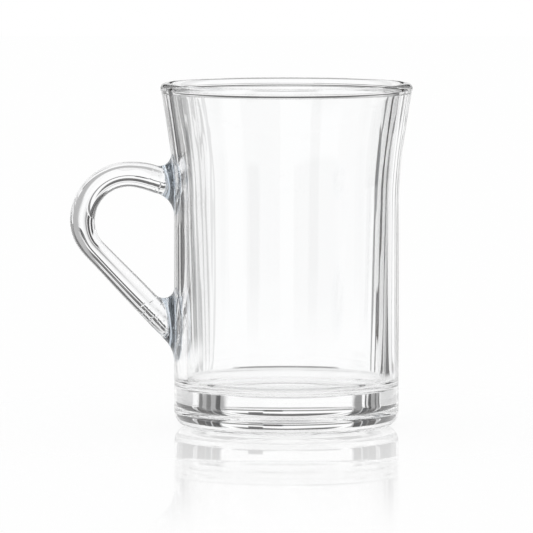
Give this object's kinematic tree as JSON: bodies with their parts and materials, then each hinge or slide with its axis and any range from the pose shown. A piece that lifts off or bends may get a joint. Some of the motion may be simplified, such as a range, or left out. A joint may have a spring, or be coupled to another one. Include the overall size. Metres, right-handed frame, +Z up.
{
  "type": "glass mug",
  "caption": "Clear glass mug: straight round body on a heavy solid base, gently flared mouth with a rounded rim, and a solid rod handle fused to the wall through flared pads.",
  "frame": {"origin": "on the vessel's axis, in the plane that the mug stands on, just under the flat middle of its underside", "axes": "+Z up along the vessel's axis, -X towards the handle, Y across the handle's plane"},
  "size_m": [0.1096, 0.0806, 0.11],
  "materials": {
    "vessel_glass": "clear colourless glass, fire polished, very slightly wavy",
    "rod_glass": "clear colourless glass, drawn rod with faint lengthwise lines",
    "pad_glass": "clear glass with a faint blue-grey cast and a few tiny seeds, pressed on hot"
  },
  "bodies": {
    "root": {"vessel": "vessel_glass", "handle_rod": "rod_glass", "upper_weld_pad": "pad_glass", "lower_weld_pad": "pad_glass"}
  },
  "joints": []
}
